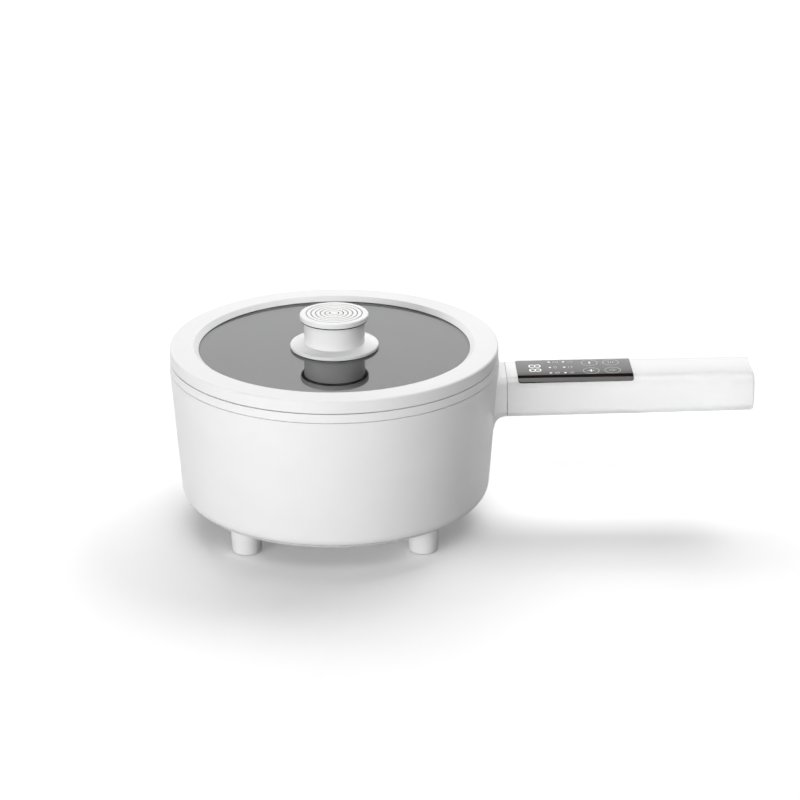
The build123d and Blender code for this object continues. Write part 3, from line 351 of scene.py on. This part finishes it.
def coatMaterial(name, look):
    material, tree, shader, coords = newMaterial(name)
    cloud = noise(tree, coords, look["cloudSize"], look["cloudDetail"])
    base = blendColours(tree, cloud, look["colour"], look["cloud"])
    cells = tree.nodes.new("ShaderNodeTexVoronoi")
    cells.inputs["Scale"].default_value = 1.0 / look["speckSize"]
    tree.links.new(coords, cells.inputs["Vector"])
    specks = mathNode(tree, "LESS_THAN", cells.outputs["Distance"], look["speckShare"])
    tree.links.new(mixColour(tree, specks, base, look["speck"]), shader.inputs["Base Color"])
    tree.links.new(spread(tree, cloud, *look["gloss"]), shader.inputs["Roughness"])
    bump(tree, shader, noise(tree, coords, look["grain"], look["grainDetail"]), look["depth"])
    shader.inputs["IOR"].default_value = look["ior"]
    return material


# lid glass: smoke tint, polished, with a very faint wave in its tint and gloss

tintedGlass = {
    "colour": (0.2, 0.2, 0.21),
    "edge": (0.17, 0.17, 0.18),
    "gloss": (0.0, 0.012),
    "wave": 0.06,
    "waveDetail": 1.0,
    "ior": 1.7,
}


def glassMaterial(name, look):
    material, tree, shader, coords = newMaterial(name)
    wave = noise(tree, coords, look["wave"], look["waveDetail"])
    tree.links.new(
        blendColours(tree, wave, look["edge"], look["colour"]), shader.inputs["Base Color"]
    )
    tree.links.new(spread(tree, wave, *look["gloss"]), shader.inputs["Roughness"])
    shader.inputs["Transmission Weight"].default_value = 1.0
    shader.inputs["IOR"].default_value = look["ior"]
    return material


# panel window: deep gloss over warm black

blackPanel = {
    "colour": (0.012, 0.0095, 0.009),
    "cloud": (0.016, 0.012, 0.011),
    "gloss": (0.06, 0.1),
    "cloudSize": 0.02,
    "cloudDetail": 2.0,
    "ior": 1.6,
    "crownWidth": 0.0126,  # from the middle of the handle to where its corner starts
    "crownDepth": 0.00033,
}


def panelMaterial(name, look):
    material, tree, shader, coords = newMaterial(name)
    cloud = noise(tree, coords, look["cloudSize"], look["cloudDetail"])
    tree.links.new(
        blendColours(tree, cloud, look["colour"], look["cloud"]), shader.inputs["Base Color"]
    )
    tree.links.new(spread(tree, cloud, *look["gloss"]), shader.inputs["Roughness"])
    shader.inputs["IOR"].default_value = look["ior"]
    addCrown(tree, shader, coords, look)
    return material


# circuit board: green mask over a grid of tracks

circuitBoard = {
    "mask": (0.012, 0.1, 0.035),
    "track": (0.03, 0.19, 0.07),
    "trackPitch": 0.0012,
    "pitchPerUnit": 4,  # the brick texture's own unit holds this many pitches
    "trackWidth": 0.03,  # in the brick texture's own unit
    "trackDepth": 0.00003,
    "gloss": (0.25, 0.4),
    "cloudSize": 0.004,
    "cloudDetail": 2.0,
}


def boardMaterial(name, look):
    material, tree, shader, coords = newMaterial(name)
    tracks = tree.nodes.new("ShaderNodeTexBrick")
    tracks.inputs["Scale"].default_value = 1.0 / look["trackPitch"] / look["pitchPerUnit"]
    tracks.inputs["Mortar Size"].default_value = look["trackWidth"]
    for socket, colour in (("Color1", "mask"), ("Color2", "mask"), ("Mortar", "track")):
        tracks.inputs[socket].default_value = (*look[colour], 1.0)
    tree.links.new(coords, tracks.inputs["Vector"])
    tree.links.new(tracks.outputs["Color"], shader.inputs["Base Color"])
    cloud = noise(tree, coords, look["cloudSize"], look["cloudDetail"])
    tree.links.new(spread(tree, cloud, *look["gloss"]), shader.inputs["Roughness"])
    bump(tree, shader, tracks.outputs["Fac"], look["trackDepth"])
    return material


# panel print: pale, faintly lit from beneath

printInk = {
    "light": (1.0, 1.0, 0.98),
    "gloss": (0.3, 0.45),
    "cloudSize": 0.0012,
    "cloudDetail": 2.0,
}
panelPrint = {
    "colour": (0.8, 0.8, 0.79),
    "cloud": (0.7, 0.7, 0.69),
    "glow": 0.35,
}
faintPrint = {
    "colour": (0.5, 0.5, 0.5),
    "cloud": (0.42, 0.42, 0.42),
    "glow": 0.12,
}


def printMaterial(name, look):
    material, tree, shader, coords = newMaterial(name)
    cloud = noise(tree, coords, printInk["cloudSize"], printInk["cloudDetail"])
    tree.links.new(
        blendColours(tree, cloud, look["cloud"], look["colour"]), shader.inputs["Base Color"]
    )
    tree.links.new(spread(tree, cloud, *printInk["gloss"]), shader.inputs["Roughness"])
    shader.inputs["Emission Color"].default_value = (*printInk["light"], 1.0)
    shader.inputs["Emission Strength"].default_value = look["glow"]
    return material


finishes = {
    "white_plastic": mouldedMaterial("whitePlastic", whitePlastic),
    "knob_plastic": mouldedMaterial("knobPlastic", knobPlastic),
    "grey_rubber": mouldedMaterial("greyRubber", greyRubber),
    "nonstick_coat": coatMaterial("potCoat", potCoat),
    "tinted_glass": glassMaterial("tintedGlass", tintedGlass),
    "black_panel": panelMaterial("blackPanel", blackPanel),
    "black_silicone": mouldedMaterial("blackSilicone", blackSilicone),
    "black_plastic": mouldedMaterial("blackPlastic", blackPlastic),
    "cast_aluminium": metalMaterial("castAluminium", castAluminium),
    "steel": metalMaterial("steel", steel),
    "brass": metalMaterial("brass", brass),
    "circuit_board": boardMaterial("circuitBoard", circuitBoard),
    "display_light": mouldedMaterial("displayLight", displayLight),
    "foam_pad": mouldedMaterial("foamPad", foamPad),
    "lead_sleeve": mouldedMaterial("leadSleeve", leadSleeve),
}
brightInk = printMaterial("panelPrint", panelPrint)
faintInk = printMaterial("faintPrint", faintPrint)

# own finishes: the handle's darker copy of the white plastic, which is painted shade, and the knob cap
# with painted shade in its grooves
paintedShadeFinishes = {
    "handle_shell": mouldedMaterial("handleShadedPlastic", handleShadedPlastic),
    "knob_cap": shadedCapMaterial("capPlasticGrooveShade", knobPlastic, grooveShade),
}

for row in frame["record"]["subparts"]:
    node = nodes[row["node"]]
    node.data.materials.clear()
    node.data.materials.append(paintedShadeFinishes.get(row["node"], finishes[row["material_slot"]]))
print("finishes given to", len(nodes), "nodes")


def placeMesh(name, mesh, finish):
    # Turns a finished bmesh into a piece in the scene.
    data = bpy.data.meshes.new(name)
    mesh.to_mesh(data)
    mesh.free()
    piece = bpy.data.objects.new(name, data)
    bpy.context.scene.collection.objects.link(piece)
    data.materials.append(finish)
    return piece


def circleTurns(steps):
    return [math.tau * i / steps for i in range(steps)]


# panel print: digits, dots, marks and key rings

panelPrintShape = {
    "thickness": 0.00006,
    "sink": 0.00002,
    "line": 0.00034,
    "nearEnd": 0.11775,  # where the level panel starts along the handle
    "top": 0.10178,
    "digitPlace": 0.0118,  # from the panel's near end
    "digitLong": 0.0078,
    "digitWide": 0.0052,
    "digitSpacing": 0.0073,
    "digitStroke": 0.001,
    "digitGap": 0.12,  # between bars that meet, as a share of their width
    "digitShift": -0.0006,
    "dotColumns": (0.0215, 0.0308),
    "dotRows": (-0.0098, 0.0, 0.0098),
    "dotRadius": 0.00085,
    "dotSteps": 20,
    "markOffset": 0.0042,
    "markSize": 0.0017,
    "keyColumns": (0.0476, 0.0614),
    "keyHalfSpacing": 0.0071,
    "keyRadius": 0.0051,
    "keySteps": 64,
    "signSize": 0.0021,
    "signStroke": 0.0009,
}
# the handle climbs a little outwards, so its print is drawn level and then turned
handleSlope = {"hinge": (0.11055, 0.0, 0.07408), "riseDeg": 1.0}
handleHinge = Vector(handleSlope["hinge"])
handleTurn = (
    Matrix.Translation(handleHinge)
    @ Matrix.Rotation(math.radians(-handleSlope["riseDeg"]), 4, "Y")
    @ Matrix.Translation(-handleHinge)
)
panelNearEnd = panelPrintShape["nearEnd"]
printUnder = panelPrintShape["top"] - panelPrintShape["sink"]
printTop = printUnder + panelPrintShape["thickness"]


def addPlate(mesh, outline):
    # A flat plate with the given outline, standing on the panel.
    low = [mesh.verts.new((x, y, printUnder)) for x, y in outline]
    high = [mesh.verts.new((x, y, printTop)) for x, y in outline]
    mesh.faces.new(high)
    mesh.faces.new(low[::-1])
    for i in range(len(outline)):
        j = (i + 1) % len(outline)
        mesh.faces.new((low[i], low[j], high[j], high[i]))


def addRing(mesh, centre, radius, line, start, turn, steps):
    # A ring, or part of one, as a row of short plates sharing their corners. A full turn has
    # that many steps.
    closed = turn >= 360
    count = int(steps * turn / 360)
    corners = []
    for i in range(count if closed else count + 1):
        angle = math.radians(start + turn * i / count)
        for r in (radius - line / 2, radius + line / 2):
            x = centre[0] + r * math.cos(angle)
            y = centre[1] + r * math.sin(angle)
            corners.append((mesh.verts.new((x, y, printUnder)), mesh.verts.new((x, y, printTop))))
    total = len(corners) // 2
    for i in range(total if closed else total - 1):
        j = (i + 1) % total
        innerA, outerA, innerB, outerB = (
            corners[2 * i], corners[2 * i + 1], corners[2 * j], corners[2 * j + 1]
        )
        mesh.faces.new((innerA[1], outerA[1], outerB[1], innerB[1]))
        mesh.faces.new((innerB[0], outerB[0], outerA[0], innerA[0]))
        mesh.faces.new((outerA[0], outerB[0], outerB[1], outerA[1]))
        mesh.faces.new((innerB[0], innerA[0], innerA[1], innerB[1]))
    if not closed:
        for a, b, flip in ((corners[0], corners[1], False), (corners[-2], corners[-1], True)):
            face = (a[0], b[0], b[1], a[1])
            mesh.faces.new(face[::-1] if flip else face)


def addStroke(mesh, start, end, line):
    # A straight bar with pointed ends, as on a segment display.
    along = Vector(end) - Vector(start)
    side = Vector((-along.y, along.x)).normalized() * line / 2
    tip = along.normalized() * line / 2
    a, b = Vector(start), Vector(end)
    addPlate(mesh, [a, a + tip - side, b - tip - side, b, b - tip + side, a + tip + side])


def addDisc(mesh, centre, radius, steps):
    addPlate(
        mesh,
        [
            (centre[0] + radius * math.cos(turn), centre[1] + radius * math.sin(turn))
            for turn in circleTurns(steps)
        ],
    )


def printPiece(name, ink, draw, *args):
    mesh = bmesh.new()
    draw(mesh, *args)
    bmesh.ops.recalc_face_normals(mesh, faces=mesh.faces)
    bmesh.ops.transform(mesh, matrix=handleTurn, verts=mesh.verts)
    piece = placeMesh(name, mesh, ink)
    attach(piece, "pot")


def drawDigit(mesh, x, y):
    # Seven bars of an 8, its long side along the handle.
    long, wide = panelPrintShape["digitLong"] / 2, panelPrintShape["digitWide"] / 2
    line = panelPrintShape["digitStroke"]
    gap = line * panelPrintShape["digitGap"]
    wide -= line / 2
    long -= line / 2
    for side in (-wide, wide):
        addStroke(mesh, (x - long + gap, y + side), (x - gap, y + side), line)
        addStroke(mesh, (x + gap, y + side), (x + long - gap, y + side), line)
    for place in (-long, 0.0, long):
        addStroke(mesh, (x + place, y - wide + gap), (x + place, y + wide - gap), line)


def drawDots(mesh):
    for column in panelPrintShape["dotColumns"]:
        for row in panelPrintShape["dotRows"]:
            centre = (panelNearEnd + column, row)
            addDisc(mesh, centre, panelPrintShape["dotRadius"], panelPrintShape["dotSteps"])


# Each sign in shares of its size. A ring has a centre, a radius, a start and a turn in degrees, and
# its steps. A stroke runs between two points. A dot's radius and a ray's width are shares of the line.
signs = {
    "lidded": {"rings": [(0, 0, 0.8, 0, 360, 24)], "strokes": [(0, -0.3, 0, 0.3)]},
    "bowl": {"rings": [(0, 0, 1, 90, 180, 28)], "strokes": [(0, -1, 0, 1)]},
    "bars": {"strokes": [(place, -1, place, 1) for place in (-0.8, 0, 0.8)]},
    "sun": {
        "rings": [(0, 0, 0.45, 0, 360, 16)],
        "rays": {"count": 6, "start": 0.75, "end": 1.15, "line": 0.8},
    },
    "halfMoon": {"rings": [(-0.2, 0, 0.8, -90, 180, 24)], "strokes": [(-0.9, -1, -0.9, 1)]},
    "timer": {"rings": [(0, 0, 0.9, 200, 250, 28)], "dot": {"radius": 0.8, "steps": 12}},
    "power": {"rings": [(0, 0, 0.8, 35, 290, 32)], "strokes": [(0, 0, 1, 0)]},
    "menu": {"strokes": [(place, -0.8, place, 0.8) for place in (-0.7, 0, 0.7)]},
    "minus": {"strokes": [(0, -1, 0, 1)]},
}
markNames = ("lidded", "bowl", "bars", "sun", "halfMoon", "timer")


def drawSign(mesh, x, y, sign, size, line):
    for ringX, ringY, radius, start, turn, steps in sign.get("rings", ()):
        addRing(mesh, (x + ringX * size, y + ringY * size), size * radius, line, start, turn, steps)
    for fromX, fromY, toX, toY in sign.get("strokes", ()):
        start, end = (x + fromX * size, y + fromY * size), (x + toX * size, y + toY * size)
        addStroke(mesh, start, end, line)
    if "rays" in sign:
        rays = sign["rays"]
        for angle in circleTurns(rays["count"]):
            ray = Vector((math.cos(angle), math.sin(angle)))
            start = Vector((x, y)) + ray * size * rays["start"]
            end = Vector((x, y)) + ray * size * rays["end"]
            addStroke(mesh, start, end, line * rays["line"])
    if "dot" in sign:
        addDisc(mesh, (x, y), line * sign["dot"]["radius"], sign["dot"]["steps"])


def drawKeyRing(mesh, x, y):
    radius, line = panelPrintShape["keyRadius"], panelPrintShape["line"]
    addRing(mesh, (x, y), radius, line, 0, 360, panelPrintShape["keySteps"])


def drawPlusSign(mesh, x, y, size, line):
    # The upright bar is bolder than the two side dashes.
    addStroke(mesh, (x, y - size), (x, y + size), line)
    for side in (-1, 1):
        addStroke(mesh, (x + side * line, y), (x + side * size, y), line / 2)


digitX = panelNearEnd + panelPrintShape["digitPlace"]
for name, side in (("digit_near", -0.5), ("digit_far", 0.5)):
    digitY = side * panelPrintShape["digitSpacing"] + panelPrintShape["digitShift"]
    printPiece(name, brightInk, drawDigit, digitX, digitY)
printPiece("indicator_dots", brightInk, drawDots)
markSize, signSize = panelPrintShape["markSize"], panelPrintShape["signSize"]
line, boldLine = panelPrintShape["line"], panelPrintShape["signStroke"]
markPlaces = [
    (panelNearEnd + column + panelPrintShape["markOffset"], row)
    for column in panelPrintShape["dotColumns"]
    for row in panelPrintShape["dotRows"]
]
for number, (markName, place) in enumerate(zip(markNames, markPlaces), 1):
    printPiece(
        f"indicator_mark_{number}", faintInk, drawSign, *place, signs[markName], markSize, line
    )
keys = (
    ("key_plus", brightInk, drawPlusSign, (signSize, boldLine), 0, -1),
    ("key_minus", brightInk, drawSign, (signs["minus"], signSize, boldLine), 0, 1),
    ("key_power", faintInk, drawSign, (signs["power"], signSize, line), 1, -1),
    ("key_menu", faintInk, drawSign, (signs["menu"], signSize, line), 1, 1),
)
for name, ink, draw, details, column, side in keys:
    keyX = panelNearEnd + panelPrintShape["keyColumns"][column]
    keyY = side * panelPrintShape["keyHalfSpacing"]
    printPiece(name, ink, draw, keyX, keyY, *details)
    printPiece(name + "_ring", faintInk, drawKeyRing, keyX, keyY)
print("panel print drawn")


# cap shadow ring: a thin black ring where the knob's cap sits on its grip, painted shade that darkens
# the cap's underside and its mirror image in the glass

capShadowRing = {
    "inner": 0.0196,
    "outer": 0.0214,
    "under": 0.13615,
    "top": 0.13693,
    "steps": 128,
}


def latheRing(name, finish, look):
    # A ring with a rectangular section, turned about the pot's axis.
    corners = (
        (look["inner"], look["under"]),
        (look["outer"], look["under"]),
        (look["outer"], look["top"]),
        (look["inner"], look["top"]),
    )
    mesh = bmesh.new()
    rows = [
        [mesh.verts.new((r * math.cos(turn), r * math.sin(turn), z)) for r, z in corners]
        for turn in circleTurns(look["steps"])
    ]
    for i, row in enumerate(rows):
        following = rows[(i + 1) % len(rows)]
        for j in range(len(corners)):
            k = (j + 1) % len(corners)
            mesh.faces.new((row[j], following[j], following[k], row[k]))
    bmesh.ops.recalc_face_normals(mesh, faces=mesh.faces)
    return placeMesh(name, mesh, finish)


shadowRingPiece = latheRing("cap_shadow_ring", finishes["black_silicone"], capShadowRing)
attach(shadowRingPiece, "lid")
print("cap seal turned")


# studio: a pale floor that curves up all round

studio = {
    "floorRadius": 2.6,
    "bend": 1.4,
    "bendSteps": 16,
    "wallTop": 3.2,
    "seen": 0.95,  # how pale the paint looks
    "bounce": 0.4,  # how much light it throws back on the pot
    "lift": 0.16,  # glow near the pot, for the eye and for mirror finishes only
    "farLift": 0.9,  # glow of the far floor and the wall
    "fade": (0.9, 1.9),  # distance from the pot over which the one turns into the other
    "steps": 96,
}


def studioMaterial(look):
    material = bpy.data.materials.new("studioPaint")
    material.use_nodes = True
    tree = material.node_tree
    tree.nodes.clear()
    path = tree.nodes.new("ShaderNodeLightPath").outputs
    geometry = tree.nodes.new("ShaderNodeNewGeometry").outputs
    seen = mathNode(tree, "MAXIMUM", path["Is Camera Ray"], path["Is Glossy Ray"])
    seen = mathNode(tree, "MAXIMUM", seen, path["Is Transmission Ray"])
    shade = tree.nodes.new("ShaderNodeMapRange")
    shade.inputs["To Min"].default_value = look["bounce"]
    shade.inputs["To Max"].default_value = look["seen"]
    tree.links.new(seen, shade.inputs["Value"])
    paint = tree.nodes.new("ShaderNodeBsdfDiffuse")
    tree.links.new(shade.outputs["Result"], paint.inputs["Color"])
    glow = tree.nodes.new("ShaderNodeEmission")
    distance = tree.nodes.new("ShaderNodeVectorMath")
    distance.operation = "LENGTH"
    coords = tree.nodes.new("ShaderNodeTexCoord").outputs["Object"]
    tree.links.new(coords, distance.inputs[0])
    lift = tree.nodes.new("ShaderNodeMapRange")
    lift.inputs["From Min"].default_value, lift.inputs["From Max"].default_value = look["fade"]
    lift.inputs["To Min"].default_value = look["lift"]
    lift.inputs["To Max"].default_value = look["farLift"]
    tree.links.new(distance.outputs["Value"], lift.inputs["Value"])
    tree.links.new(mathNode(tree, "MULTIPLY", seen, lift.outputs["Result"]), glow.inputs["Strength"])
    both = tree.nodes.new("ShaderNodeAddShader")
    tree.links.new(paint.outputs[0], both.inputs[0])
    tree.links.new(glow.outputs[0], both.inputs[1])
    # from below, the floor lets the eye through
    under = mathNode(tree, "MULTIPLY", geometry["Backfacing"], path["Is Camera Ray"])
    clear = tree.nodes.new("ShaderNodeBsdfTransparent")
    side = tree.nodes.new("ShaderNodeMixShader")
    tree.links.new(under, side.inputs[0])
    tree.links.new(both.outputs[0], side.inputs[1])
    tree.links.new(clear.outputs[0], side.inputs[2])
    output = tree.nodes.new("ShaderNodeOutputMaterial")
    tree.links.new(side.outputs[0], output.inputs["Surface"])
    return material


def addStudio(look):
    profile = []
    for i in range(look["bendSteps"] + 1):
        angle = math.radians(90 * i / look["bendSteps"])
        radius = look["floorRadius"] + look["bend"] * math.sin(angle)
        profile.append((radius, look["bend"] * (1 - math.cos(angle))))
    profile.append((look["floorRadius"] + look["bend"], look["wallTop"]))
    mesh = bmesh.new()
    turns = circleTurns(look["steps"])
    rings = [
        [mesh.verts.new((radius * math.cos(turn), radius * math.sin(turn), height)) for turn in turns]
        for radius, height in profile
    ]
    mesh.faces.new(rings[0])
    for low, high in zip(rings, rings[1:]):
        for i in range(look["steps"]):
            j = (i + 1) % look["steps"]
            mesh.faces.new((low[i], high[i], high[j], low[j]))
    bmesh.ops.recalc_face_normals(mesh, faces=mesh.faces)
    mesh.faces.ensure_lookup_table()
    if mesh.faces[0].normal.z < 0:
        bmesh.ops.reverse_faces(mesh, faces=mesh.faces)
    floor = placeMesh("studio", mesh, studioMaterial(look))
    for polygon in floor.data.polygons:
        polygon.use_smooth = True


addStudio(studio)
print("studio built")


# light: plain soft boxes round the object, and a world that is white for the eye and through glass

lamps = {
    "rear": {"place": (0.0, 1.7, 0.62), "size": (2.4, 0.55), "watts": 2.1},
    "rearHigh": {"place": (0.0, 1.4, 1.6), "size": (2.0, 0.8), "watts": 18.0, "kind": "fill"},
    "backTop": {"place": (0.0, 0.8, 1.9), "size": (1.8, 0.8), "watts": 11.4, "kind": "fill"},
    "backRight": {"place": (0.9, 0.7, 1.7), "size": (0.8, 0.8), "watts": 10.0, "kind": "fill"},
    "leftLow": {"place": (-1.2, -1.5, 0.35), "size": (0.9, 0.5), "watts": 18.9, "kind": "fill"},
    "frontLow": {"place": (-0.3, -1.9, 0.3), "size": (1.0, 0.5), "watts": 7.6, "kind": "fill"},
    "front": {"place": (0.15, -1.15, 1.35), "size": (1.3, 0.6), "watts": 6.0, "kind": "fill"},
    "overhead": {"place": (0.28, -0.47, 1.42), "size": (0.5, 1.37), "watts": 6.0, "kind": "shine"},
    # a narrow strip that reaches the handle alone
    "handleStrip": {
        "place": (0.27, -0.75, 0.07),
        "aim": (0.235, 0.0, 0.09),
        "size": (0.13, 0.05),
        "spreadDeg": 15,
        "watts": 0.0145,
        "kind": "fill",
    },
}
worldWhite = 1.0
lampAim = (0.05, 0.0, 0.08)
openSpreadDeg = 180  # a soft box that shines over its whole front


def addLamp(name, settings):
    light = bpy.data.lights.new(name, "AREA")
    light.shape = "RECTANGLE"
    light.size, light.size_y = settings["size"]
    light.energy = settings["watts"]
    light.spread = math.radians(settings.get("spreadDeg", openSpreadDeg))
    lamp = bpy.data.objects.new(name, light)
    bpy.context.scene.collection.objects.link(lamp)
    lamp.location = settings["place"]
    away = Vector(settings["place"]) - Vector(settings.get("aim", lampAim))
    lamp.rotation_mode = "QUATERNION"
    lamp.rotation_quaternion = away.to_track_quat("Z", "Y")
    lamp.visible_camera = False
    kind = settings.get("kind")
    lamp.visible_glossy = kind != "fill"  # a fill lamp leaves no highlight
    lamp.visible_diffuse = kind != "shine"  # a shine lamp is only mirrored


def addWorld(shine):
    # White for the eye and through glass, dark in mirror finishes and as a light.
    world = bpy.data.worlds.new("studioAir")
    bpy.context.scene.world = world
    world.use_nodes = True
    tree = world.node_tree
    background = tree.nodes["Background"]
    background.inputs["Color"].default_value = (1.0, 1.0, 1.0, 1.0)
    path = tree.nodes.new("ShaderNodeLightPath").outputs
    seen = mathNode(tree, "MAXIMUM", path["Is Camera Ray"], path["Is Transmission Ray"])
    tree.links.new(mathNode(tree, "MULTIPLY", seen, shine), background.inputs["Strength"])


for name, settings in lamps.items():
    addLamp(name + "Lamp", settings)
addWorld(worldWhite)
bpy.context.scene.view_settings.view_transform = "Standard"
print("lamps lit")


# end of the scene

print("scene built")
